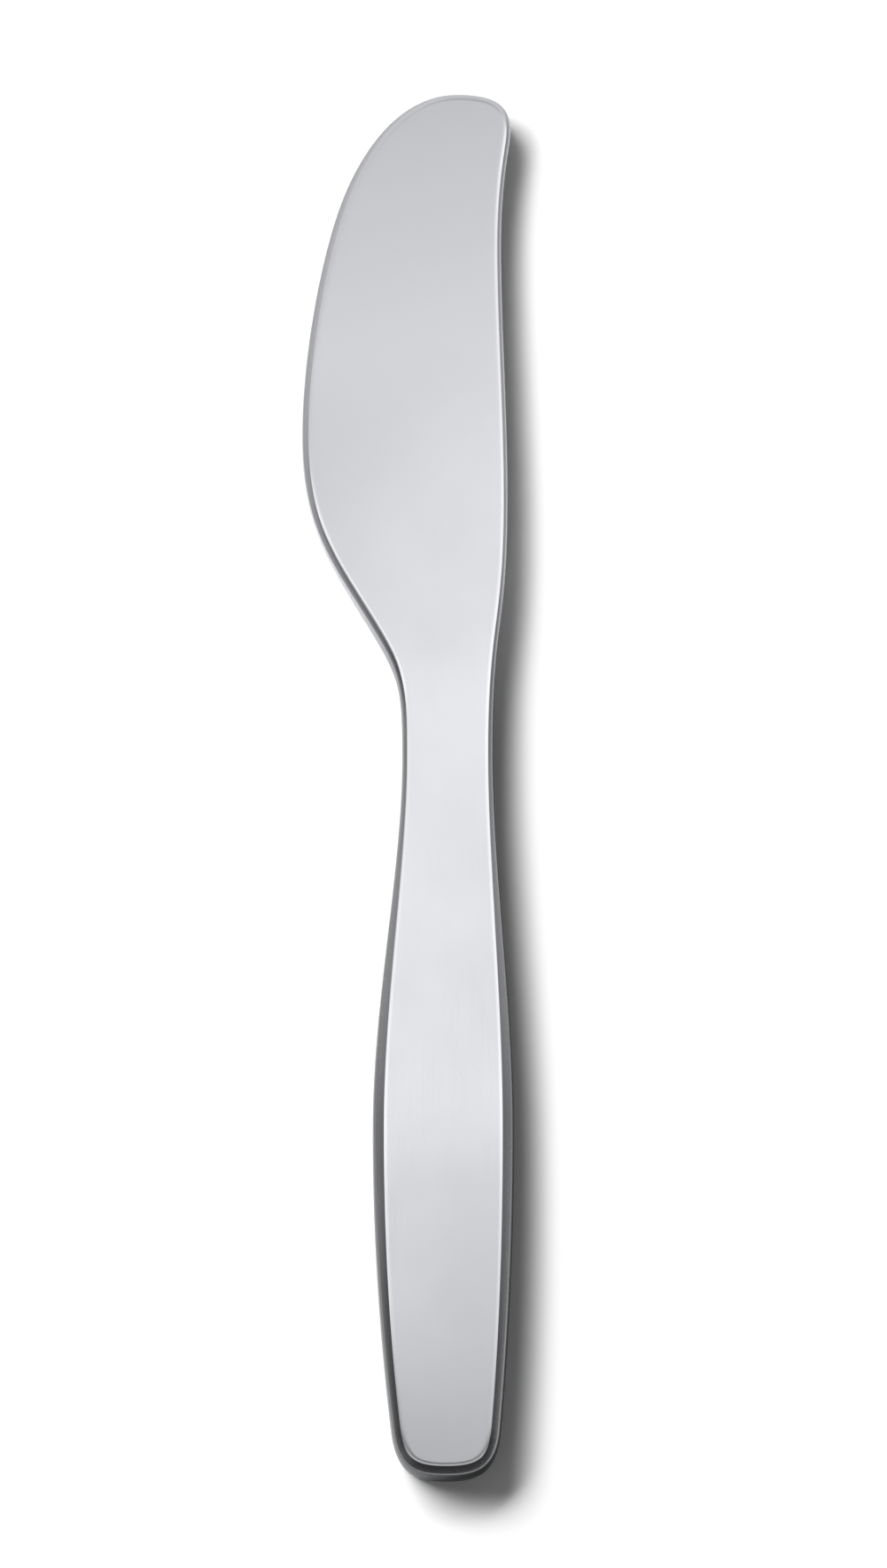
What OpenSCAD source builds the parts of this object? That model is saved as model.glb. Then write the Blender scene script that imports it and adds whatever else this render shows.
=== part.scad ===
// Butter knife, forged and coined from one bar of stainless steel, in millimetres.
// It lies on its handle's flat underside: +Y runs from the butt to the tip, +X towards the spine,
// -X towards the cutting edge and +Z up. The origin is on that underside, level with the handle's
// widest place and on the centre line, which runs through the middle of the butt.

/* [Lengths] */
// Length of the handle, from the butt to the narrowest place of the neck
handle_length = 86.3; // [80:0.1:94]
// Length of the blade, from the neck to the tip
blade_length = 83.7; // [76:0.1:92]
// Distance from the butt to the handle's widest place
widest_length = 41.6; // [36:0.1:48]
// Distance from the butt to the end of its round corners
corner_length = 5.6; // [5:0.1:7]
// Distance from the neck to where the blade has thinned to its own thickness
root_length = 27.5; // [18:0.5:34]

/* [Widths] */
// Width of the handle at its widest place
handle_width = 16.25; // [14.5:0.05:18]
// How far the handle's middle lies towards the cutting edge at its widest place
handle_offset = 0.3; // [0:0.05:0.6]
// Width of the handle where the butt's round corners end
butt_width = 12.5; // [11.5:0.1:14]
// Width of the neck
neck_width = 10.6; // [9.5:0.1:12]
// How far the neck's middle lies towards the spine
neck_offset = 0.2; // [0:0.05:0.4]
// Reach of the cutting edge from the centre line at the heel, halfway down the hollow of the edge
heel_reach = 8.6; // [8:0.1:9.5]
// Reach of the cutting edge from the centre line at the belly, its widest place
belly_reach = 17; // [15:0.1:19]
// Reach of the cutting edge from the centre line at the shoulder, where it turns to the tip
shoulder_reach = 12.35; // [11:0.05:13.5]
// Reach of the spine from the centre line at its bulge above the neck
bulge_reach = 7.25; // [6.5:0.05:8.5]
// Reach of the spine from the centre line at its waist below the tip
waist_reach = 6.55; // [6:0.05:7.5]
// Reach of the spine from the centre line at the flare beside the tip
flare_reach = 7.7; // [7:0.1:9]
// Distance of the tip's highest point from the centre line, on the spine's side
tip_reach = 1.3; // [0:0.1:3]

/* [Thickness] */
// Thickness of the handle at the butt
butt_thickness = 4.2; // [3.6:0.1:4.6]
// Thickness of the neck
neck_thickness = 3.4; // [2.9:0.1:3.5]
// Thickness of the spine where the blade proper begins
blade_thickness = 2.6; // [2.3:0.1:2.8]
// Thickness of the spine at the tip
tip_thickness = 1.5; // [1.2:0.1:1.9]
// How much thinner the blade is at the cutting edge than at the spine
edge_thinning = 0.95; // [0.4:0.05:1.1]
// Height of the tip's underside above the surface that the handle lies on
tip_lift = 1.2; // [0.5:0.1:2]

/* [Rolled sides] */
// Width of the rolled side at the handle's widest place, seen from above
side_roll = 1.4; // [1:0.05:2]
// Width of the rolled side at the butt
butt_roll = 1.15; // [0.9:0.05:1.6]
// Width of the rolled side at the neck
neck_roll = 0.65; // [0.4:0.05:1]
// Width of the rolled side along the spine and round the tip
spine_roll = 0.5; // [0.3:0.05:0.8]
// Width of the bevel along the cutting edge's belly
bevel_width = 0.9; // [0.5:0.05:1.1]
// How far the softening of the crease reaches into the flat face
face_softening = 0.4; // [0.1:0.05:0.6]
// How far the softening of the crease reaches into the rolled side
crease_softening = 0.15; // [0.05:0.05:0.2]

/* [Hidden] */

// Steps of the softened crease and of the roll below it
crease_steps = 3;
roll_steps = 4;
steel_color = "silver";

// Places along the length
butt_y = -widest_length;
corner_y = butt_y + corner_length;
neck_y = butt_y + handle_length;
root_y = neck_y + root_length;
tip_y = neck_y + blade_length;

// Places along the blade, as shares of its length
heel_share = 0.187;
bulge_share = 0.395;
belly_share = 0.481;
waist_share = 0.762;
shoulder_share = 0.838;
flare_share = 0.946;

// Where the roll turns down into the steep side: how far below the face and how far in from the
// outline, as shares of the roll's width where the side is thick and of its half thickness where thin
roll_drop_share = 0.4;
roll_inset_share = 0.14;

// Share of the steep side that the turn takes up
roll_turn_share = 0.6;

// Slopes of the outline, as shares of the mean slope between the still places on each side of them
corner_slope_share = 2;
heel_slope_share = 1.95;
shoulder_slope_share = 0.85;
heel_slope = heel_slope_share * (belly_reach + neck_offset - neck_width / 2) / (belly_share * blade_length);
shoulder_slope = shoulder_slope_share * (belly_reach + tip_reach) / ((1 - belly_share) * blade_length);

// Place on the Y axis of a share of the blade's length
function blade_y(share) = neck_y + share * blade_length;

// Anchors of the outline, each a place and the way the outline heads there on its way to the tip.
// The handle has a side of 1 along the spine and a side of -1 along the edge.
function handle_anchors(side) =
    let (reach = handle_width / 2 - side * handle_offset)
    let (corner_slope = corner_slope_share * (reach - butt_width / 2) / (widest_length - corner_length))
    [
        [[0, butt_y], [side, 0]],
        [[side * butt_width / 2, corner_y], [side * corner_slope, 1]],
        [[side * reach, 0], [0, 1]],
        [[side * neck_width / 2 + neck_offset, neck_y], [0, 1]]
    ];
spine_anchors = concat(handle_anchors(1), [
    [[bulge_reach, blade_y(bulge_share)], [0, 1]],
    [[waist_reach, blade_y(waist_share)], [0, 1]],
    [[flare_reach, blade_y(flare_share)], [0, 1]],
    [[tip_reach, tip_y], [-1, 0]]
]);
edge_anchors = concat(handle_anchors(-1), [
    [[-heel_reach, blade_y(heel_share)], [-heel_slope, 1]],
    [[-belly_reach, blade_y(belly_share)], [0, 1]],
    [[-shoulder_reach, blade_y(shoulder_share)], [shoulder_slope, 1]],
    [[tip_reach, tip_y], [1, 0]]
]);

// How far each anchor's heading pulls the curve after it and the curve before the next one,
// as shares of the distance between the two
handle_pull_shares = [[0.43, 0.57], [0.35, 0.3], [0.34, 0.3]];
spine_pull_shares = concat(handle_pull_shares, [[0.53, 0.53], [0.33, 0.3], [0.6, 0.15], [0.38, 0.6]]);
edge_pull_shares = concat(handle_pull_shares, [[0.53, 0.39], [0.36, 0.465], [0.345, 0.24], [0.32, 0.375]]);

// Steps of the curve after each anchor. The two sides take as many in all and keep level with each
// other, because strips join the points that lie opposite.
handle_steps = [12, 10, 18];
spine_steps = concat(handle_steps, [18, 14, 9, 15]);
edge_steps = concat(handle_steps, [10, 13, 15, 18]);

// Value at a share of the way from one value or point to another
function between(from, to, share) = from + (to - from) * share;

// Share of the way from one place to another, levelled off smoothly at both ends
function eased(from, to, at) =
    let (way = min(1, max(0, (at - from) / (to - from))))
    way * way * (3 - 2 * way);

// Point of a smooth curve at a share of its length, by repeated division of its control points
function curve_point(controls, share) =
    len(controls) == 1 ? controls[0] :
    curve_point([for (i = [0 : len(controls) - 2]) between(controls[i], controls[i + 1], share)], share);

// Control points of the curve from one anchor to the next
function curve_controls(from, to, pull_shares) =
    let (distance = norm(to[0] - from[0]))
    let (leaving = from[1] / norm(from[1]) * pull_shares[0] * distance)
    let (arriving = to[1] / norm(to[1]) * pull_shares[1] * distance)
    [from[0], from[0] + leaving, to[0] - arriving, to[0]];

// Points along one side, from the butt to just short of the tip
function side_points(anchors, pull_shares, steps) = [
    for (i = [0 : len(steps) - 1])
        let (controls = curve_controls(anchors[i], anchors[i + 1], pull_shares[i]))
        for (k = [0 : steps[i] - 1])
            curve_point(controls, k / steps[i])
];

// The closed outline runs from the butt along the spine's side to the tip and back along the edge
spine_points = side_points(spine_anchors, spine_pull_shares, spine_steps);
edge_points = side_points(edge_anchors, edge_pull_shares, edge_steps);
side_count = len(spine_points);
outline = concat(
    spine_points,
    [[tip_reach, tip_y]],
    [for (i = [side_count - 1 : -1 : 1]) edge_points[i]]
);
outline_count = len(outline);

// Outward direction of the outline at a point, square to the line between its neighbours
function outward(i) =
    let (ahead = outline[(i + 1) % outline_count] - outline[(i + outline_count - 1) % outline_count])
    [ahead.y, -ahead.x] / norm(ahead);

// How far the handle's form has given way to the blade's, from 0 at the neck to 1 at the root
function blade_part(y) = eased(neck_y, root_y, y);

// Thickness of the handle's even taper, and of the blade's, at any place on the Y axis
function handle_taper(y) = between(butt_thickness, neck_thickness, (y - butt_y) / handle_length);
function blade_taper(y) = between(blade_thickness, tip_thickness, (y - root_y) / (tip_y - root_y));

// Height of the plane halfway between the two faces
function middle_height(y) =
    let (tip_middle = tip_lift + tip_thickness / 2)
    let (blade_middle = between(neck_thickness / 2, tip_middle, (y - neck_y) / blade_length))
    between(handle_taper(y) / 2, blade_middle, blade_part(y));

// Height of the upper face above the middle plane, and the depth of the lower one below it
function half_height(place) =
    let (spine_half = between(handle_taper(place.y), blade_taper(place.y), blade_part(place.y)) / 2)
    let (from_spine = (bulge_reach - place.x) / (bulge_reach + belly_reach))
    spine_half - edge_thinning / 2 * from_spine * blade_part(place.y);

// Width of the rolled side where the outline faces the given way
function roll_width(place, facing) =
    let (near_roll = between(side_roll, butt_roll, eased(0, butt_y, place.y)))
    let (handle_roll = between(near_roll, neck_roll, eased(0, neck_y, place.y)))
    let (blade_roll = between(spine_roll, bevel_width, pow(min(0, facing.x), 2)))
    between(handle_roll, blade_roll, blade_part(place.y));

// A value a little below the lesser of two, without a kink where they change places
function smooth_least(one, other) = one * other / pow(pow(one, 4) + pow(other, 4), 1 / 4);

// Section of the rolled side at a point of the outline, from the upper face to mid height: a softened
// crease, a roll that turns down at its corner and a steep side. Each point has its distance in from
// the outline and its height above the middle plane.
function roll_section(place, facing) =
    let (width = roll_width(place, facing))
    let (rise = half_height(place - facing * width))
    let (size = smooth_least(width, rise))
    let (corner = [roll_inset_share * size, rise - roll_drop_share * size])
    let (roll_start = between([width, rise], corner, crease_softening / (width - corner.x)))
    let (face_in = width + face_softening)
    let (crease = [[face_in, half_height(place - facing * face_in)], [width, rise], roll_start])
    let (roll = [roll_start, corner, corner, corner, corner * (1 - roll_turn_share)])
    concat(
        [for (k = [0 : crease_steps - 1]) curve_point(crease, k / crease_steps)],
        [for (k = [0 : roll_steps]) curve_point(roll, k / roll_steps)],
        [[0, 0]]
    );

sections = [for (i = [0 : outline_count - 1]) roll_section(outline[i], outward(i))];
half_rows = crease_steps + roll_steps + 1;

// Point of the surface on a row, counted from the upper face down to the lower one
function surface_point(row, i) =
    let (section_point = sections[i][min(row, 2 * half_rows - row)])
    let (place = outline[i] - outward(i) * section_point[0])
    let (above = row <= half_rows ? section_point[1] : -section_point[1])
    [place.x, place.y, middle_height(place.y) + above];

surface_points = [
    for (row = [0 : 2 * half_rows])
        for (i = [0 : outline_count - 1])
            surface_point(row, i)
];

// Two triangles of the rolled side between two rows and two points of the outline
function side_faces(row, i) =
    let (near = row * outline_count)
    let (far = near + outline_count)
    let (next = (i + 1) % outline_count)
    [[near + i, near + next, far + next], [near + i, far + next, far + i]];

// Two triangles of a flat face, which cross it from the spine's side to the edge's side
function flat_faces(row, j) =
    let (first = row * outline_count)
    let (spine_near = first + j)
    let (spine_far = first + j + 1)
    let (edge_near = first + (outline_count - j) % outline_count)
    let (edge_far = first + outline_count - j - 1)
    [
        if (j > 0) [spine_near, edge_near, edge_far],
        if (j < side_count - 1) [spine_near, edge_far, spine_far]
    ];

// The same triangle seen from its other side
function turned(face) = [face[2], face[1], face[0]];

side_triangles = [
    for (row = [0 : 2 * half_rows - 1])
        for (i = [0 : outline_count - 1])
            each side_faces(row, i)
];
upper_triangles = [for (j = [0 : side_count - 1]) each flat_faces(0, j)];
lower_triangles = [for (j = [0 : side_count - 1]) for (face = flat_faces(2 * half_rows, j)) turned(face)];

// Handle, neck and blade in one piece, with two flat faces and a rolled side all round
module knife() {
    color(steel_color)
        polyhedron(surface_points, concat(side_triangles, upper_triangles, lower_triangles));
}

knife();
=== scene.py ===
"""Butter knife in satin stainless steel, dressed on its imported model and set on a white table."""

import logging
import math
from collections.abc import Mapping, Sequence
from dataclasses import dataclass, field
from enum import Enum
from typing import Any, Union

import bpy
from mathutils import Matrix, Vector


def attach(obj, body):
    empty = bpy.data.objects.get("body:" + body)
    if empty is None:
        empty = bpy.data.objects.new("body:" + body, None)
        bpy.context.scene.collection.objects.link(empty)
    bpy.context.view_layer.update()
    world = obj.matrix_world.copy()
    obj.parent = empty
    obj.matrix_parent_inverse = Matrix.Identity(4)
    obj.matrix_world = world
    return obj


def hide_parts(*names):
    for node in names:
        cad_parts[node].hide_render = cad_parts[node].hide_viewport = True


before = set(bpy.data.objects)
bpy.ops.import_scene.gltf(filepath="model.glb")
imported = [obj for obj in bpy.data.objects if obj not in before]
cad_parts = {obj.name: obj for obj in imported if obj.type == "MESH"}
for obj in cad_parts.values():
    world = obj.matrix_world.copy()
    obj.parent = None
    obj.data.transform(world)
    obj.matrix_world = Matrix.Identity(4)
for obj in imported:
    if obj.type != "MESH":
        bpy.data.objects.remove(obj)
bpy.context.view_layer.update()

LOG = logging.getLogger("butter_knife")
MM = 0.001

Operand = Union["Wire", float, Sequence[float]]
Colour = tuple[float, float, float]
Span = tuple[float, float]


def label(name: str) -> str:
    """Return a size's name as it stands on an input of the surface's tree."""
    return name.replace("_", " ").capitalize()


class Wire:
    """An output socket whose arithmetic adds math nodes to its own tree."""

    def __init__(self, graph: "Graph", socket: bpy.types.NodeSocket) -> None:
        """Keep the socket and the graph that it belongs to."""
        self.graph = graph
        self.socket = socket

    @property
    def is_vector(self) -> bool:
        """Tell whether the socket carries a vector."""
        return self.socket.type == "VECTOR"

    def component(self, name: str) -> "Wire":
        """Return one component of a vector."""
        return self.graph.node("ShaderNodeSeparateXYZ", {}, {0: self})[name]

    @property
    def x(self) -> "Wire":
        """Return the first component of a vector."""
        return self.component("X")

    @property
    def y(self) -> "Wire":
        """Return the second component of a vector."""
        return self.component("Y")

    @property
    def z(self) -> "Wire":
        """Return the third component of a vector."""
        return self.component("Z")

    def __add__(self, other: Operand) -> "Wire":
        """Add a wire or a value."""
        return self.graph.math("ADD", self, other)

    def __radd__(self, other: Operand) -> "Wire":
        """Add this wire to a value."""
        return self.graph.math("ADD", other, self)

    def __sub__(self, other: Operand) -> "Wire":
        """Take a wire or a value away."""
        return self.graph.math("SUBTRACT", self, other)

    def __rsub__(self, other: Operand) -> "Wire":
        """Take this wire away from a value."""
        return self.graph.math("SUBTRACT", other, self)

    def __mul__(self, other: Operand) -> "Wire":
        """Multiply by a wire or a value."""
        return self.graph.math("MULTIPLY", self, other)

    def __rmul__(self, other: Operand) -> "Wire":
        """Multiply a value by this wire."""
        return self.graph.math("MULTIPLY", other, self)

    def __truediv__(self, other: Operand) -> "Wire":
        """Divide by a wire or a value."""
        return self.graph.math("DIVIDE", self, other)

    def __rtruediv__(self, other: Operand) -> "Wire":
        """Divide a value by this wire."""
        return self.graph.math("DIVIDE", other, self)

    def __pow__(self, other: Operand) -> "Wire":
        """Raise to a power."""
        return self.graph.math("POWER", self, other)

    def __neg__(self) -> "Wire":
        """Turn the sign round."""
        return self * -1.0


class Made:
    """A node that has been made, whose outputs are read by name or number."""

    def __init__(self, graph: "Graph", node: bpy.types.Node) -> None:
        """Keep the node and the graph that it belongs to."""
        self.graph = graph
        self.node = node

    def __getitem__(self, key: str | int) -> Wire:
        """Return one output as a wire."""
        return Wire(self.graph, self.node.outputs[key])


class Graph:
    """A shader or geometry node tree under construction."""

    def __init__(self, tree: bpy.types.NodeTree) -> None:
        """Empty the tree and keep it."""
        tree.nodes.clear()
        self.tree = tree

    def node(
        self,
        kind: str,
        settings: Mapping[str, Any] | None = None,
        inputs: Mapping[str | int, Any] | None = None,
    ) -> Made:
        """Add one node.

        Args:
            kind: the node's type.
            settings: the node's own properties, set before its sockets.
            inputs: values or wires for its sockets, by name or number.

        Returns:
            The node, whose outputs are read by name or number.
        """
        made = self.tree.nodes.new(kind)
        for name, value in (settings or {}).items():
            setattr(made, name, value)
        for key, value in (inputs or {}).items():
            if isinstance(value, Wire):
                self.tree.links.new(value.socket, made.inputs[key])
            else:
                made.inputs[key].default_value = value
        return Made(self, made)

    def math(self, operation: str, *operands: Operand) -> Wire:
        """Combine operands with a Math node, or with Vector Math where one of them is a vector.

        Args:
            operation: the node's operation.
            operands: wires, numbers or vectors.

        Returns:
            The result.
        """
        vectors = [o.is_vector if isinstance(o, Wire) else isinstance(o, tuple) for o in operands]
        kind = "ShaderNodeVectorMath" if any(vectors) else "ShaderNodeMath"
        if operation == "MULTIPLY" and any(vectors) and not all(vectors):
            vector, scale = operands if vectors[0] else reversed(operands)
            return self.node(kind, {"operation": "SCALE"}, {0: vector, "Scale": scale})[0]
        return self.node(kind, {"operation": operation}, dict(enumerate(operands)))[0]

    def between(self, start: Operand, end: Operand, share: Operand) -> Wire:
        """Find what lies at a share of the way from one number or vector to another.

        Args:
            start: the number or vector at no share.
            end: the number or vector at the whole share.
            share: the share of the way, which may go beyond 0 and 1.

        Returns:
            The number or vector there.
        """
        # The Mix node's sockets repeat their names for each type, so they go by number.
        vector = any(isinstance(o, Wire) and o.is_vector for o in (start, end))
        kind, first, result = ("VECTOR", 4, 1) if vector else ("FLOAT", 2, 0)
        settings = {"data_type": kind, "clamp_factor": False}
        inputs = {0: share, first: start, first + 1: end}
        return self.node("ShaderNodeMix", settings, inputs)[result]

    def blend(self, start: Wire | Colour, end: Wire | Colour, share: Operand) -> Wire:
        """Return the colour at a share of the way from one to another."""
        first, last = (o if isinstance(o, Wire) else (*o, 1.0) for o in (start, end))
        return self.node("ShaderNodeMix", {"data_type": "RGBA"}, {0: share, 6: first, 7: last})[2]

    def eased(self, start: Operand, end: Operand, at: Operand) -> Wire:
        """Return the share of the way from one place to another, levelled off at both ends."""
        settings = {"interpolation_type": "SMOOTHSTEP"}
        return self.node("ShaderNodeMapRange", settings, {0: at, 1: start, 2: end})[0]

    def way(self, start: float, steps: float, at: Operand) -> Wire:
        """Return the share of some steps that has been taken, kept from 0 to 1."""
        inputs = {0: at, 1: float(start), 2: float(start + steps)}
        return self.node("ShaderNodeMapRange", {}, inputs)[0]

    def pair(self, x: Operand, y: Operand) -> Wire:
        """Return a vector of two numbers and a zero."""
        return self.node("ShaderNodeCombineXYZ", {}, {0: x, 1: y})[0]


class Side(Enum):
    """A long side of the knife, with the sign of its X."""

    SPINE = 1.0
    EDGE = -1.0


@dataclass(frozen=True)
class Anchor:
    """A place on the outline and the way that the outline heads there on its way to the tip."""

    place: Vector
    heading: Vector


@dataclass(frozen=True)
class SatinSteel:
    """Satin stainless steel with a fine lengthwise grain, creases polished by wear and painted
    shade on the handle's steep sides.

    Lengths are in millimetres and angles in degrees. A range gives the noise that a mask starts
    at and the noise that fills it.
    """

    tint: Colour = (0.775, 0.782, 0.812)
    handled_tint: Colour = (0.755, 0.763, 0.795)
    worn_tint: Colour = (0.83, 0.835, 0.86)
    # Painted shade: this near-black colour on the handle's steep sides stands in for the dark
    # reflection seen there.
    painted_shade_tint: Colour = (0.075, 0.078, 0.083)
    handled_share: float = 0.6
    worn_share: float = 0.7
    scratch_share: float = 0.25
    roughness: float = 0.14
    grain_roughness: float = 0.03
    handling_roughness: float = 0.04
    scratch_roughness: float = 0.05
    wear_polish: float = 0.03
    rolled_roughness: float = 0.14
    ground_roughness: float = 0.28
    grain_width: float = 0.16
    grain_length: float = 9.0
    grain_detail: float = 2.0
    grain_strength: float = 0.05
    grain_depth: float = 0.02
    handling_size: float = 24.0
    handling_detail: float = 3.0
    handling_range: Span = (0.35, 0.7)
    scratch_width: float = 0.07
    scratch_length: float = 7.0
    scratch_depth: float = 0.6
    scratch_turns: tuple[float, ...] = (-17.0, 9.0, 31.0)
    scratch_range: Span = (0.7, 0.78)

    def streaks(
        self, graph: Graph, place: Wire, width: float, length: float, turn: float = 0.0
    ) -> Wire:
        """Make noise that is drawn out along the knife.

        Args:
            graph: the material's graph.
            place: the place on the piece.
            width: the streaks' width.
            length: their length.
            turn: the angle between them and the knife's length.

        Returns:
            The noise, around a half.
        """
        scale = (1 / (width * MM), 1 / (length * MM), 1 / (width * MM))
        rotation = (0.0, 0.0, math.radians(turn))
        settings = {"vector_type": "TEXTURE"}
        turned = graph.node("ShaderNodeMapping", settings, {0: place, "Rotation": rotation})[0]
        inputs = {"Vector": turned * scale, "Scale": 1.0, "Detail": self.grain_detail}
        return graph.node("ShaderNodeTexNoise", {}, inputs)[0]

    def scratches(self, graph: Graph, place: Wire) -> Wire:
        """Make a few hairline scratches that lie at slight angles to the grain.

        Args:
            graph: the material's graph.
            place: the place on the piece.

        Returns:
            A mask, 1 on a scratch.
        """
        first, second, third = (
            graph.eased(
                *self.scratch_range,
                self.streaks(graph, place, self.scratch_width, self.scratch_length, turn),
            )
            for turn in self.scratch_turns
        )
        return graph.math("MAXIMUM", first, graph.math("MAXIMUM", second, third))

    def handling(self, graph: Graph, place: Wire) -> Wire:
        """Make the faint broad marks that handling leaves.

        Args:
            graph: the material's graph.
            place: the place on the piece.

        Returns:
            A mask, 1 in the middle of a mark.
        """
        scale = 1 / (self.handling_size * MM)
        inputs = {"Vector": place, "Scale": scale, "Detail": self.handling_detail}
        return graph.eased(*self.handling_range, graph.node("ShaderNodeTexNoise", {}, inputs)[0])

    def material(self) -> bpy.types.Material:
        """Build the finish.

        Returns:
            The steel material.
        """
        steel = bpy.data.materials.new("satin_steel")
        steel.use_nodes = True
        graph = Graph(steel.node_tree)
        place = graph.node("ShaderNodeTexCoord")["Object"]
        grain = self.streaks(graph, place, self.grain_width, self.grain_length)
        handled = self.handling(graph, place)
        scratch = self.scratches(graph, place)
        crease, rolled, ground, side = (
            graph.node("ShaderNodeAttribute", {"attribute_name": name})["Fac"]
            for name in ("crease", "rolled", "ground", "side")
        )
        colour = graph.blend(self.tint, self.handled_tint, handled * self.handled_share)
        worn = crease * self.worn_share + scratch * self.scratch_share
        # The side mask blends in the near-black colour, painted shade that stands in for the steep
        # sides' dark reflection.
        colour = graph.blend(graph.blend(colour, self.worn_tint, worn), self.painted_shade_tint, side)
        roughness = (
            self.roughness
            + (grain - 0.5) * self.grain_roughness
            + (handled - 0.5) * self.handling_roughness
            + scratch * self.scratch_roughness
            - crease * self.wear_polish
            + rolled * self.rolled_roughness
            + ground * self.ground_roughness
        )
        relief = {
            "Strength": self.grain_strength,
            "Distance": self.grain_depth * MM,
            "Height": grain - scratch * self.scratch_depth,
        }
        bump = graph.node("ShaderNodeBump", {}, relief)["Normal"]
        inputs = {"Base Color": colour, "Metallic": 1.0, "Roughness": roughness, "Normal": bump}
        shader = graph.node("ShaderNodeBsdfPrincipled", {}, inputs)
        graph.node("ShaderNodeOutputMaterial", {}, {"Surface": shader[0]})
        return steel


@dataclass
class Knife:
    """The handle, neck and blade in one piece, with sizes in millimetres.

    The outline is a closed curve through anchors. A rolled side with a softened crease runs all
    round it, and two flat faces cross from side to side. A reach is a distance from the middle
    line, and the shares of the blade's length are counted from the neck. A slope share sets a
    slope beside the average one of its stretch. A pull is how far the headings at a stretch's two
    ends bend the curve between them, as shares of the distance.
    """

    handle_length: float = 86.3
    blade_length: float = 83.7
    widest_length: float = 41.6
    corner_length: float = 5.6
    root_length: float = 27.5
    thinning_length: float = 49.3
    handle_width: float = 16.25
    handle_offset: float = 0.3
    butt_width: float = 12.5
    neck_width: float = 10.6
    neck_offset: float = 0.2
    heel_reach: float = 8.6
    belly_reach: float = 17.0
    shoulder_reach: float = 12.35
    bulge_reach: float = 7.25
    waist_reach: float = 6.55
    flare_reach: float = 7.7
    tip_reach: float = 1.3
    heel_share: float = 0.187
    belly_share: float = 0.481
    shoulder_share: float = 0.838
    bulge_share: float = 0.395
    waist_share: float = 0.762
    flare_share: float = 0.946
    heel_slope_share: float = 1.95
    shoulder_slope_share: float = 0.85
    handle_pulls: tuple[Span, ...] = ((0.43, 0.57), (0.35, 0.3), (0.34, 0.3))
    spine_pulls: tuple[Span, ...] = ((0.53, 0.53), (0.33, 0.3), (0.6, 0.15), (0.38, 0.6))
    edge_pulls: tuple[Span, ...] = ((0.53, 0.39), (0.36, 0.465), (0.345, 0.24), (0.32, 0.375))
    butt_thickness: float = 4.2
    neck_thickness: float = 3.4
    blade_thickness: float = 2.6
    tip_thickness: float = 1.5
    edge_thinning: float = 0.95
    tip_lift: float = 1.2
    side_roll: float = 1.4
    butt_roll: float = 1.15
    neck_roll: float = 0.65
    spine_roll: float = 0.5
    bevel_width: float = 0.9
    face_softening: float = 0.4
    crease_softening: float = 0.15
    roll_drop_share: float = 0.4
    roll_inset_share: float = 0.14
    roll_turn_share: float = 0.6
    curve_steps: int = 44
    face_steps: int = 12
    crease_steps: int = 10
    roll_steps: int = 10
    wall_steps: int = 2
    finish: SatinSteel = field(default_factory=SatinSteel)

    @property
    def butt_y(self) -> float:
        """Return the butt's place along the length."""
        return -self.widest_length

    @property
    def neck_y(self) -> float:
        """Return the neck's place along the length."""
        return self.butt_y + self.handle_length

    @property
    def tip_y(self) -> float:
        """Return the tip's place along the length."""
        return self.neck_y + self.blade_length

    @property
    def half_rows(self) -> int:
        """Return the rows from a flat face down to mid height."""
        return self.crease_steps + self.roll_steps + self.wall_steps

    def blade_anchors(self, side: Side) -> list[Anchor]:
        """List the anchors of one side between the neck and the tip.

        Args:
            side: the spine's or the cutting edge's side.

        Returns:
            Its anchors, in order towards the tip.
        """
        if side is Side.SPINE:
            places = [
                (self.bulge_reach, self.bulge_share, 0.0),
                (self.waist_reach, self.waist_share, 0.0),
                (self.flare_reach, self.flare_share, 0.0),
            ]
        else:
            rise = self.belly_reach + self.neck_offset - self.neck_width / 2
            heel_slope = self.heel_slope_share * rise / (self.belly_share * self.blade_length)
            fall = self.belly_reach + self.tip_reach
            fall_length = (1 - self.belly_share) * self.blade_length
            shoulder_slope = -self.shoulder_slope_share * fall / fall_length
            places = [
                (self.heel_reach, self.heel_share, heel_slope),
                (self.belly_reach, self.belly_share, 0.0),
                (self.shoulder_reach, self.shoulder_share, shoulder_slope),
            ]
        return [
            Anchor(
                Vector((side.value * reach, self.neck_y + share * self.blade_length)),
                Vector((side.value * slope, 1.0)),
            )
            for reach, share, slope in places
        ]

    def anchors(self, side: Side) -> list[Anchor]:
        """List the anchors of one side.

        Args:
            side: the spine's or the cutting edge's side.

        Returns:
            Its anchors, from the butt to the tip.
        """
        sign, straight = side.value, Vector((0.0, 1.0))
        reach = self.handle_width / 2 - sign * self.handle_offset
        run = self.widest_length - self.corner_length
        corner_slope = 2 * (reach - self.butt_width / 2) / run
        corner = Vector((sign * self.butt_width / 2, self.butt_y + self.corner_length))
        neck = Vector((sign * self.neck_width / 2 + self.neck_offset, self.neck_y))
        return [
            Anchor(Vector((0.0, self.butt_y)), Vector((sign, 0.0))),
            Anchor(corner, Vector((sign * corner_slope, 1.0))),
            Anchor(Vector((sign * reach, 0.0)), straight),
            Anchor(neck, straight),
            *self.blade_anchors(side),
            Anchor(Vector((self.tip_reach, self.tip_y)), Vector((-sign, 0.0))),
        ]

    def pulls(self, side: Side) -> tuple[Span, ...]:
        """Return the pulls of one side's stretches, from the butt to the tip."""
        return self.handle_pulls + (self.spine_pulls if side is Side.SPINE else self.edge_pulls)

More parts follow.
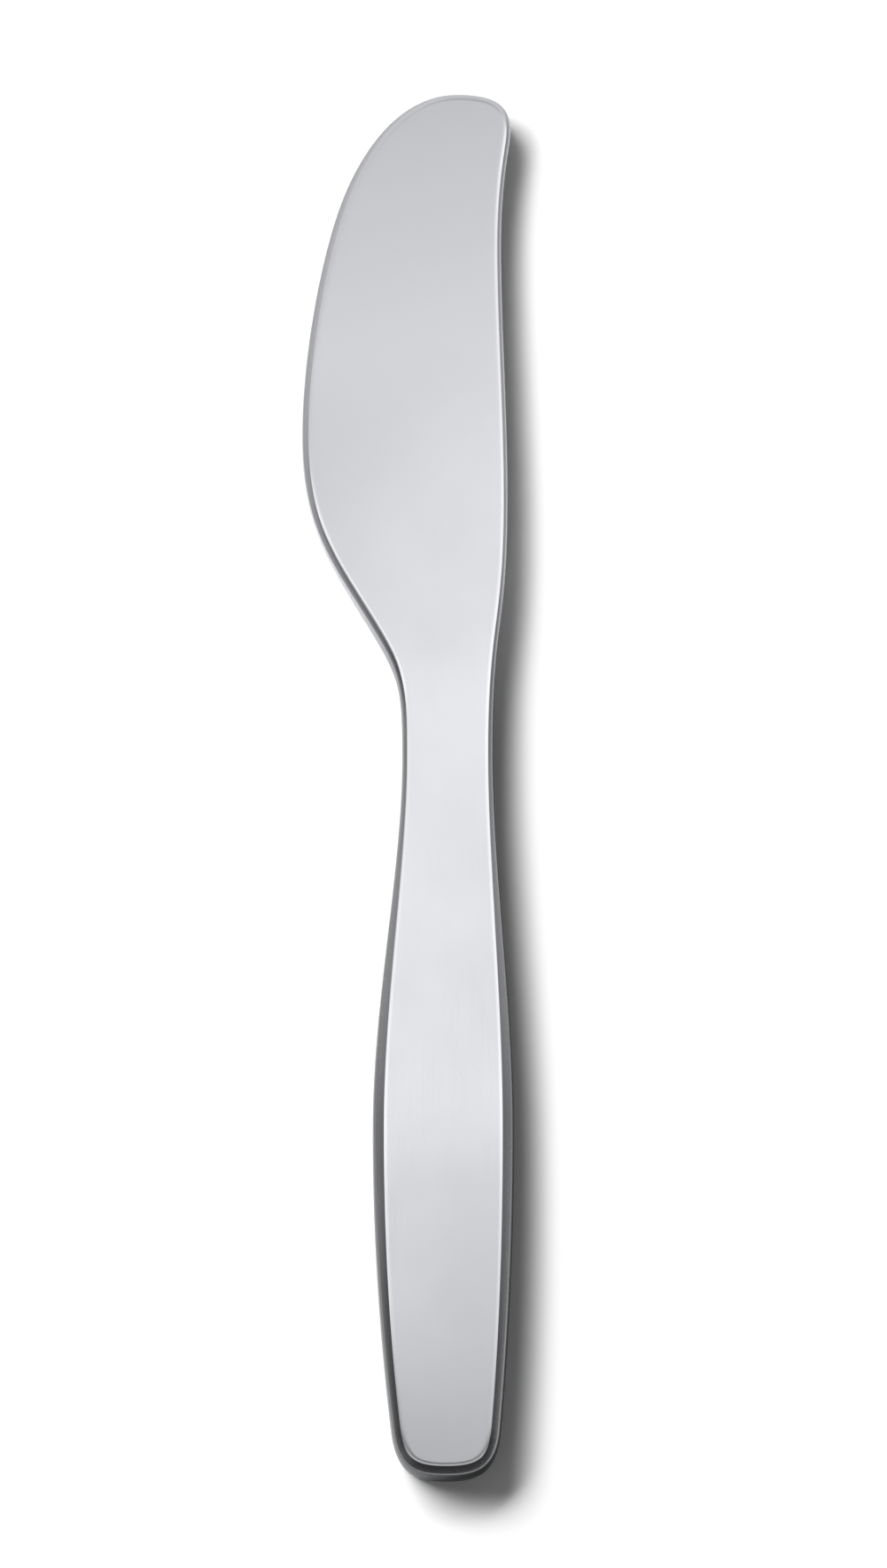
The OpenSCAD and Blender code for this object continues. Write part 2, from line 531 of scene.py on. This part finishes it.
    def outline(self) -> bpy.types.Object:
        """Draw the outline as a closed curve, anticlockwise from the butt.

        Returns:
            The curve object.
        """
        curve = bpy.data.curves.new("outline", "CURVE")
        curve.dimensions = "3D"
        spline = curve.splines.new("BEZIER")
        count = 2 * len(self.pulls(Side.SPINE))
        spline.bezier_points.add(count - 1)
        spline.use_cyclic_u = True
        spline.resolution_u = self.curve_steps
        for point in spline.bezier_points:
            point.handle_left_type = point.handle_right_type = "FREE"
        for side in Side:
            anchors = self.anchors(side)
            for i, (leave, arrive) in enumerate(self.pulls(side)):
                start, end = anchors[i], anchors[i + 1]
                distance = (end.place - start.place).length
                leaving = start.place + start.heading.normalized() * leave * distance
                arriving = end.place - end.heading.normalized() * arrive * distance
                # The curve runs down the edge's side, so its points and handles swap there.
                near, far = (i, i + 1) if side is Side.SPINE else (-i % count, count - i - 1)
                first, second = spline.bezier_points[near], spline.bezier_points[far]
                first.co = (*start.place * MM, 0.0)
                second.co = (*end.place * MM, 0.0)
                if side is Side.SPINE:
                    first.handle_right = (*leaving * MM, 0.0)
                    second.handle_left = (*arriving * MM, 0.0)
                else:
                    first.handle_left = (*leaving * MM, 0.0)
                    second.handle_right = (*arriving * MM, 0.0)
        shown = bpy.data.objects.new("outline", curve)
        bpy.context.scene.collection.objects.link(shown)
        return shown

    def tree_sizes(self) -> dict[str, float]:
        """Gather the sizes that the surface's tree takes.

        Returns:
            Lengths and places in metres, and shares, by the labels of the tree's inputs.
        """
        lengths = (
            "butt_thickness neck_thickness blade_thickness tip_thickness edge_thinning tip_lift "
            "side_roll butt_roll neck_roll spine_roll bevel_width face_softening crease_softening "
            "bulge_reach belly_reach butt_y neck_y tip_y"
        ).split()
        shares = ("roll_drop_share", "roll_inset_share", "roll_turn_share")
        sizes = {label(name): getattr(self, name) * MM for name in lengths}
        sizes["Root y"] = (self.neck_y + self.root_length) * MM
        sizes["Thinned y"] = (self.neck_y + self.thinning_length) * MM
        return sizes | {label(name): getattr(self, name) for name in shares}


@dataclass
class KnifeSurface:
    """The geometry node tree that lofts a knife's faces and rolled sides round its outline.

    The tree bends a flat grid to shape, once for the upper half and once for the lower. Each
    column of the grid is a station, counted from the butt to the tip up both sides at once. Its
    rows cross the knife from mid height at the cutting edge's side, over the face, to mid height
    at the spine's side. A span gives the row that a mask starts at, counted down from the crease,
    and the rows that it takes to fill: as shares of the crease's rows for the rolled mask, and of
    the roll's rows for the painted shade on the handle's steep side.
    """

    knife: Knife
    rolled_span: Span = (-0.2, 0.4)
    # Painted shade fills the steep wall of the handle's rolled side from this span.
    painted_shade_span: Span = (0.25, 0.3)
    index_margin: float = 0.01
    face_margin: float = 1e-6
    weld_distance: float = 1e-6

    def __post_init__(self) -> None:
        """Make the tree with its named inputs, and count the grid's stations and rows."""
        tree = bpy.data.node_groups.new("knife_surface", "GeometryNodeTree")
        face = tree.interface
        face.new_socket("Geometry", in_out="OUTPUT", socket_type="NodeSocketGeometry")
        face.new_socket("Outline", in_out="INPUT", socket_type="NodeSocketObject")
        face.new_socket("Steel", in_out="INPUT", socket_type="NodeSocketMaterial")
        for name in self.knife.tree_sizes():
            face.new_socket(name, in_out="INPUT", socket_type="NodeSocketFloat")
        self.tree = tree
        self.graph = Graph(tree)
        self.given = self.graph.node("NodeGroupInput")
        self.stations = len(self.knife.pulls(Side.SPINE)) * self.knife.curve_steps
        self.rows = 2 * self.knife.half_rows + self.knife.face_steps

    def blade_part(self, y: Wire) -> Wire:
        """Return how far the handle's form has given way to the blade's."""
        return self.graph.eased(self.given["Neck y"], self.given["Root y"], y)

    def taper(self, near: str, far: str, start: str, end: str, y: Wire) -> Wire:
        """Work out an even taper, which also runs on beyond its two ends.

        Args:
            near: the input with the thickness at the start.
            far: the input with the thickness at the end.
            start: the input with the start's place along the length.
            end: the input with the end's place along the length.
            y: the place along the length.

        Returns:
            The thickness there.
        """
        given = self.given
        share = (y - given[start]) / (given[end] - given[start])
        return self.graph.between(given[near], given[far], share)

    def handle_taper(self, y: Wire) -> Wire:
        """Return the thickness of the handle's taper."""
        return self.taper("Butt thickness", "Neck thickness", "Butt y", "Neck y", y)

    def middle_height(self, y: Wire) -> Wire:
        """Work out the height of the plane halfway between the two faces.

        Args:
            y: the place along the length.

        Returns:
            The height there above the table.
        """
        graph, given = self.graph, self.given
        tip_middle = given["Tip lift"] + given["Tip thickness"] / 2
        share = (y - given["Neck y"]) / (given["Tip y"] - given["Neck y"])
        blade_middle = graph.between(given["Neck thickness"] / 2, tip_middle, share)
        return graph.between(self.handle_taper(y) / 2, blade_middle, self.blade_part(y))

    def half_height(self, place: Wire) -> Wire:
        """Work out the height of the upper face above the middle plane.

        Args:
            place: the place seen from above.

        Returns:
            The height there.
        """
        graph, given = self.graph, self.given
        bulge, belly = given["Bulge reach"], given["Belly reach"]
        blade_taper = self.taper("Blade thickness", "Tip thickness", "Root y", "Tip y", place.y)
        spine = graph.between(self.handle_taper(place.y), blade_taper, self.blade_part(place.y)) / 2
        from_spine = (bulge - place.x) / (bulge + belly)
        thinned = graph.eased(given["Neck y"], given["Thinned y"], place.y)
        return spine - given["Edge thinning"] / 2 * from_spine * thinned

    def roll_width(self, place: Wire, facing: Wire) -> Wire:
        """Work out the width of the rolled side.

        Args:
            place: the point of the outline.
            facing: the outward direction there.

        Returns:
            The width there.
        """
        graph, given = self.graph, self.given
        buttward = graph.eased(0.0, given["Butt y"], place.y)
        neckward = graph.eased(0.0, given["Neck y"], place.y)
        near_roll = graph.between(given["Side roll"], given["Butt roll"], buttward)
        handle = graph.between(near_roll, given["Neck roll"], neckward)
        edgeward = graph.math("MINIMUM", facing.x, 0.0) ** 2.0
        blade = graph.between(given["Spine roll"], given["Bevel width"], edgeward)
        return graph.between(handle, blade, self.blade_part(place.y))

    def curve_point(self, controls: Sequence[Wire], share: Wire) -> Wire:
        """Find a point of a smooth curve, by repeated division of its control points.

        Args:
            controls: the control points.
            share: the share of the curve.

        Returns:
            The point there.
        """
        if len(controls) == 1:
            return controls[0]
        divided = [self.graph.between(a, b, share) for a, b in zip(controls, controls[1:])]
        return self.curve_point(divided, share)

    def section(self, place: Wire, facing: Wire, row: Wire) -> Wire:
        """Work out the rolled side's section at a point of the outline.

        Args:
            place: the point of the outline.
            facing: the outward direction there.
            row: the row of the section, counted from the flat face down to mid height.

        Returns:
            The distance in from the outline and the height above the middle plane.
        """
        graph, given, knife = self.graph, self.given, self.knife
        width = self.roll_width(place, facing)
        rise = self.half_height(place - facing * width)
        # The size of the roll is a smooth minimum of its width and its rise.
        size = width * rise / (width**4.0 + rise**4.0) ** 0.25
        inset, drop = size * given["Roll inset share"], size * given["Roll drop share"]
        corner = graph.pair(inset, rise - drop)
        soft_share = given["Crease softening"] / (width - corner.x)
        start = graph.between(graph.pair(width, rise), corner, soft_share)
        foot = corner * (1 - given["Roll turn share"])
        face_in = width + given["Face softening"]
        face_edge = graph.pair(face_in, self.half_height(place - facing * face_in))
        on_crease = graph.way(0, knife.crease_steps, row)
        on_roll = graph.way(knife.crease_steps, knife.roll_steps, row)
        on_wall = graph.way(knife.crease_steps + knife.roll_steps, knife.wall_steps, row)
        crease = self.curve_point([face_edge, graph.pair(width, rise), start], on_crease)
        roll = self.curve_point([start, corner, corner, corner, foot], on_roll)
        return crease + (roll - start) + (foot * (1 - on_wall) - foot)

    def sampled(self, points: Made, value: Wire, index: Wire) -> Wire:
        """Read a value off the outline's points.

        Args:
            points: the outline as points.
            value: what is read.
            index: the point's number.

        Returns:
            The value at that point.
        """
        # The margin keeps a number a hair under its point's from being rounded down past it.
        inputs = {"Geometry": points["Points"], "Value": value, "Index": index + self.index_margin}
        return self.graph.node("GeometryNodeSampleIndex", {"data_type": "FLOAT_VECTOR"}, inputs)[0]

    def side_place(
        self, side: Side, points: Made, spot: Wire, station: Wire, row: Wire
    ) -> tuple[Wire, Wire]:
        """Bend the grid to the section of one side.

        Args:
            side: the spine's or the cutting edge's side.
            points: the outline as points.
            spot: the place of a point of the outline.
            station: the grid's station.
            row: the grid's row.

        Returns:
            The place seen from above, and the height above the middle plane.
        """
        graph, knife = self.graph, self.knife
        count = 2.0 * self.stations
        index = station if side is Side.SPINE else count - station
        # The outline is closed, so its first point also follows its last. The half step keeps
        # rounding from wrapping a number early.
        index = graph.math("MODULO", index + 0.5, count) - 0.5
        place = self.sampled(points, spot, index)
        along = self.sampled(points, points["Tangent"], index)
        facing = graph.math("NORMALIZE", graph.pair(along.y, -along.x))
        if side is Side.SPINE:
            from_face = row - (knife.half_rows + knife.face_steps)
        else:
            from_face = knife.half_rows - row
        section = self.section(place, facing, graph.math("MAXIMUM", from_face, 0.0))
        return place - facing * section.x, section.y

    def marked(self, sheet: Wire, row: Wire, y: Wire) -> Wire:
        """Store the masks that the steel reads.

        Args:
            sheet: the grid.
            row: the grid's row.
            y: the place along the length.

        Returns:
            The grid with its masks.
        """
        graph, knife = self.graph, self.knife
        to_crease = knife.face_steps / 2 + knife.crease_steps
        below = graph.math("ABSOLUTE", row - self.rows / 2) - to_crease
        rolled = graph.way(*(share * knife.crease_steps for share in self.rolled_span), below)
        shaded_wall = graph.way(*(share * knife.roll_steps for share in self.painted_shade_span), below)
        masks = {
            "crease": 1 - graph.way(0, knife.crease_steps, graph.math("ABSOLUTE", below)),
            "rolled": rolled,
            "ground": rolled * self.blade_part(y),
            # The side mask carries painted shade: the steel turns near-black on the handle's steep
            # walls.
            "side": shaded_wall * (1 - self.blade_part(y)),
        }
        settings = {"data_type": "FLOAT", "domain": "POINT"}
        for name, value in masks.items():
            inputs = {"Geometry": sheet, "Name": name, "Value": value}
            sheet = graph.node("GeometryNodeStoreNamedAttribute", settings, inputs)["Geometry"]
        return sheet

    def joined(self, sheet: Wire, plan: Wire, middle: Wire, rise: Wire) -> Wire:
        """Bend the grid to the upper and the lower half, and join them with faces outwards.

        Args:
            sheet: the grid with its masks.
            plan: the place seen from above.
            middle: the height of the middle plane there.
            rise: the height of the surface above the middle plane.

        Returns:
            The two halves.
        """
        graph = self.graph
        halves = []
        for sign in (1.0, -1.0):
            height = graph.node("ShaderNodeCombineXYZ", {}, {2: middle + rise * sign})[0]
            inputs = {"Geometry": sheet, "Position": plan + height}
            halves.append(graph.node("GeometryNodeSetPosition", {}, inputs)["Geometry"])
        upper = graph.node("GeometryNodeFlipFaces", {}, {"Mesh": halves[0]})["Mesh"]
        join = graph.node("GeometryNodeJoinGeometry", {}, {"Geometry": upper})
        graph.tree.links.new(halves[1].socket, join.node.inputs["Geometry"])
        return join["Geometry"]

    def build(self) -> bpy.types.NodeTree:
        """Finish the tree.

        Returns:
            The tree, which takes the outline, the steel and the sizes.
        """
        graph, knife = self.graph, self.knife
        info = graph.node("GeometryNodeObjectInfo", {}, {"Object": self.given["Outline"]})
        curve = {"Curve": info["Geometry"]}
        points = graph.node("GeometryNodeCurveToPoints", {"mode": "EVALUATED"}, curve)
        sizes = {
            "Size X": float(self.stations),
            "Size Y": float(self.rows),
            "Vertices X": self.stations + 1,
            "Vertices Y": self.rows + 1,
        }
        sheet = graph.node("GeometryNodeMeshGrid", {}, sizes)["Mesh"]
        spot = graph.node("GeometryNodeInputPosition")["Position"]
        station, row = spot.x + self.stations / 2, spot.y + self.rows / 2
        spine_place, spine_rise = self.side_place(Side.SPINE, points, spot, station, row)
        edge_place, edge_rise = self.side_place(Side.EDGE, points, spot, station, row)
        share = graph.way(knife.half_rows, knife.face_steps, row)
        # The rows of the face lie closer together beside the rolled sides.
        eased_share = share * share * (3 - 2 * share)
        plan = graph.between(edge_place, spine_place, eased_share)
        on_face = graph.math("GREATER_THAN", share * (1 - share), self.face_margin)
        side_rise = graph.between(edge_rise, spine_rise, eased_share)
        rise = graph.between(side_rise, self.half_height(plan), on_face)
        sheet = self.marked(sheet, row, plan.y)
        mesh = self.joined(sheet, plan, self.middle_height(plan.y), rise)
        for kind, inputs in (
            ("GeometryNodeMergeByDistance", {"Distance": self.weld_distance}),
            ("GeometryNodeSetShadeSmooth", {"Shade Smooth": True}),
            ("GeometryNodeRealizeInstances", {}),
            ("GeometryNodeSetMaterial", {"Material": self.given["Steel"]}),
        ):
            mesh = graph.node(kind, {}, {"Geometry": mesh, **inputs})["Geometry"]
        graph.node("NodeGroupOutput", {}, {"Geometry": mesh})
        return self.tree

    def piece(self) -> bpy.types.Object:
        """Run the tree and keep its result as a plain mesh.

        Returns:
            The knife, riding on the root body in place of the plain solid.
        """
        knife = self.knife
        tree = self.build()
        outline = knife.outline()
        values = {"Outline": outline, "Steel": knife.finish.material(), **knife.tree_sizes()}
        holder = bpy.data.objects.new("knife_holder", bpy.data.meshes.new("knife_holder"))
        bpy.context.scene.collection.objects.link(holder)
        modifier = holder.modifiers.new("surface", "NODES")
        modifier.node_group = tree
        for socket in tree.interface.items_tree:
            if socket.in_out == "INPUT":
                modifier[socket.identifier] = values[socket.name]
        depsgraph = bpy.context.evaluated_depsgraph_get()
        evaluated = holder.evaluated_get(depsgraph)
        mesh = bpy.data.meshes.new_from_object(evaluated, depsgraph=depsgraph)
        mesh.name = "knife_body"
        for used in (holder, outline):
            bpy.data.objects.remove(used)
        piece = bpy.data.objects.new("knife_body", mesh)
        bpy.context.scene.collection.objects.link(piece)
        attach(piece, "root")
        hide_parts("knife")
        return piece


@dataclass
class Table:
    """The white table top that the knife lies on, with its reach from the middle in metres."""

    reach: float = 6.0
    tint: Colour = (0.93, 0.93, 0.93)

    def build(self) -> bpy.types.Object:
        """Make the table top.

        Returns:
            The table top, which isn't part of the object.
        """
        mesh = bpy.data.meshes.new("table_top")
        reach = self.reach
        corners = [(-reach, -reach, 0), (reach, -reach, 0), (reach, reach, 0), (-reach, reach, 0)]
        mesh.from_pydata(corners, [], [(0, 1, 2, 3)])
        paint = bpy.data.materials.new("white_table")
        paint.use_nodes = True
        graph = Graph(paint.node_tree)
        shader = graph.node("ShaderNodeBsdfDiffuse", {}, {"Color": (*self.tint, 1.0)})
        graph.node("ShaderNodeOutputMaterial", {}, {"Surface": shader[0]})
        mesh.materials.append(paint)
        table = bpy.data.objects.new("table_top", mesh)
        bpy.context.scene.collection.objects.link(table)
        return table


@dataclass(frozen=True)
class Fade:
    """A soft change of brightness between two places in the surroundings."""

    start: float
    end: float
    change: float = 1.0

    def share(self, graph: Graph, place: Wire) -> Wire:
        """Return the share of the change that a place has taken."""
        return graph.eased(self.start, self.end, place)

    def level(self, graph: Graph, place: Wire) -> Wire:
        """Return the change of brightness that a place has taken."""
        return self.change * self.share(graph, place)


@dataclass
class Studio:
    """The soft light from the upper left and the surroundings that the steel reflects.

    The lamp's place and size are in metres. Fades overhead lie along the knife, towards its tip,
    or across it, towards its spine, and are counted as slopes from straight up, along the knife
    from the softbox's place. The fades of the room are counted by a direction's own X, Y or Z.
    """

    lamp_power: float = 9990.0
    lamp_place: Vector = field(default_factory=lambda: Vector((-10.4, 10.4, 8.0)))
    lamp_turn: float = 45.0
    lamp_size: float = 12.45
    fill_level: float = 0.15
    least_height: float = 0.02
    softbox_place: float = 0.335
    near_card: Fade = Fade(-0.5, -0.43, 0.55)
    near_card_end: Fade = Fade(-0.25, -0.18, -0.43)
    softbox: Fade = Fade(-0.081, -0.041, 0.98)
    softbox_end: Fade = Fade(0.06, 0.16, -0.66)
    softbox_lean: float = 0.67
    lean_reach: float = 0.08
    wing_level: float = 0.17
    wing_far_part: Fade = Fade(0.06, 0.16, 0.08)
    wing_near_end: Fade = Fade(-0.3, -0.1)
    wing_inner_side: Fade = Fade(0.03, 0.1)
    edge_side: Fade = Fade(-0.85, -0.5)
    spine_side: Fade = Fade(0.35, 0.7)
    room_level: float = 0.025
    far_wall: Fade = Fade(0.15, 0.65, 0.6)
    side_wall: Fade = Fade(0.2, 0.8, 0.06)
    side_wall_end: Fade = Fade(-0.1, 0.1)
    horizon_level: float = 0.6
    horizon_top: Fade = Fade(0.38, 0.62, -0.57)
    horizon_climb: float = 0.15

    def lamp(self) -> bpy.types.Object:
        """Hang the broad square lamp whose corner points at the knife, which draws the shadow.

        Returns:
            The lamp.
        """
        light = bpy.data.lights.new("broad_lamp", "AREA")
        light.shape = "SQUARE"
        light.energy = self.lamp_power
        light.size = self.lamp_size
        lamp = bpy.data.objects.new("broad_lamp", light)
        lamp.location = self.lamp_place
        lamp.rotation_euler = (0.0, 0.0, math.radians(self.lamp_turn))
        lamp.visible_glossy = False
        bpy.context.scene.collection.objects.link(lamp)
        return lamp

    def overhead(self, graph: Graph, towards: Wire) -> Wire:
        """Paint the near card, the softbox and its brighter wings.

        Args:
            graph: the world's graph.
            towards: the direction that is looked in.

        Returns:
            Their brightness.
        """
        up = graph.math("MAXIMUM", towards.z, self.least_height)
        across, along = towards.x / up, towards.y / up - self.softbox_place
        # The softbox's far end leans nearer on the cutting edge's side.
        edgeward = graph.math("MAXIMUM", graph.math("MINIMUM", across, 0.0), -self.lean_reach)
        lengthwise = self.near_card.level(graph, along) + self.near_card_end.level(graph, along)
        lengthwise = lengthwise + self.softbox.level(graph, along)
        leaning = along - self.softbox_lean * edgeward
        lengthwise = lengthwise + self.softbox_end.level(graph, leaning)
        wing = self.wing_level + self.wing_far_part.level(graph, along)
        wing = wing * self.wing_near_end.share(graph, along)
        out = graph.math("ABSOLUTE", across)
        lengthwise = lengthwise + wing * self.wing_inner_side.share(graph, out)
        edge_side = self.edge_side.share(graph, across)
        return lengthwise * (edge_side * (1 - self.spine_side.share(graph, across)))

    def room(self, graph: Graph, towards: Wire) -> Wire:
        """Paint the dark room, its paler far wall and the glow of the table towards the horizon.

        Args:
            graph: the world's graph.
            towards: the direction that is looked in.

        Returns:
            Their brightness.
        """
        beside = self.side_wall.share(graph, -towards.x)
        beside = beside * (1 - self.side_wall_end.share(graph, towards.y))
        walls = self.room_level + self.far_wall.level(graph, towards.y)
        walls = walls + self.side_wall.change * beside
        height = towards.z + self.horizon_climb * graph.math("MAXIMUM", towards.y, 0.0)
        glow = self.horizon_level + self.horizon_top.level(graph, height)
        return graph.math("MAXIMUM", walls, glow)

    def surroundings(self) -> bpy.types.World:
        """Paint all that the steel reflects, and a plain fill for everything else.

        Returns:
            The world.
        """
        world = bpy.data.worlds.new("studio")
        world.use_nodes = True
        graph = Graph(world.node_tree)
        towards = graph.node("ShaderNodeTexCoord")["Generated"]
        overhead, room = self.overhead(graph, towards), self.room(graph, towards)
        shown = graph.math("MAXIMUM", overhead, room)
        rays = graph.node("ShaderNodeLightPath")
        seen = graph.math("MAXIMUM", rays["Is Camera Ray"], rays["Is Glossy Ray"])
        level = graph.between(self.fill_level, shown, seen)
        white = (1.0, 1.0, 1.0, 1.0)
        sky = graph.node("ShaderNodeBackground", {}, {"Color": white, "Strength": level})
        graph.node("ShaderNodeOutputWorld", {}, {"Surface": sky[0]})
        bpy.context.scene.world = world
        return world


@dataclass
class Camera:
    """A camera high above the knife, a little towards its butt, with the photograph's frame.

    The distance and the clipping are in metres, and the middle, level and height of the frame at
    the knife are in millimetres, as is the sensor.
    """

    distance: float = 1.0
    elevation: float = 71.5
    centre: tuple[float, float] = (-0.29, 41.58)
    level: float = 2.0
    frame_height: float = 182.47
    sensor_width: float = 36.0
    clip_start: float = 0.01
    clip_end: float = 50.0

    def build(self) -> bpy.types.Object:
        """Set the camera up.

        Returns:
            The camera.
        """
        data = bpy.data.cameras.new("camera")
        data.sensor_width = self.sensor_width
        data.lens = self.sensor_width * self.distance / (self.frame_height * MM)
        data.clip_start, data.clip_end = self.clip_start, self.clip_end
        camera = bpy.data.objects.new("camera", data)
        lean = math.radians(90.0 - self.elevation)
        back, up = self.distance * math.sin(lean), self.distance * math.cos(lean)
        x, y = self.centre
        camera.location = (x * MM, y * MM - back, self.level * MM + up)
        camera.rotation_euler = (lean, 0.0, 0.0)
        bpy.context.scene.collection.objects.link(camera)
        bpy.context.scene.camera = camera
        return camera


def main() -> None:
    """Build the knife and the scene round it."""
    logging.basicConfig(level=logging.INFO, format="%(name)s: %(message)s")
    bpy.context.scene.view_settings.view_transform = "Standard"
    knife = KnifeSurface(Knife()).piece()
    LOG.info("%s has %d faces", knife.name, len(knife.data.polygons))
    studio = Studio()
    for made in (Table().build(), studio.lamp(), Camera().build()):
        LOG.info("%s is in place", made.name)
    LOG.info("%s surrounds it", studio.surroundings().name)


if __name__ == "__main__":
    main()
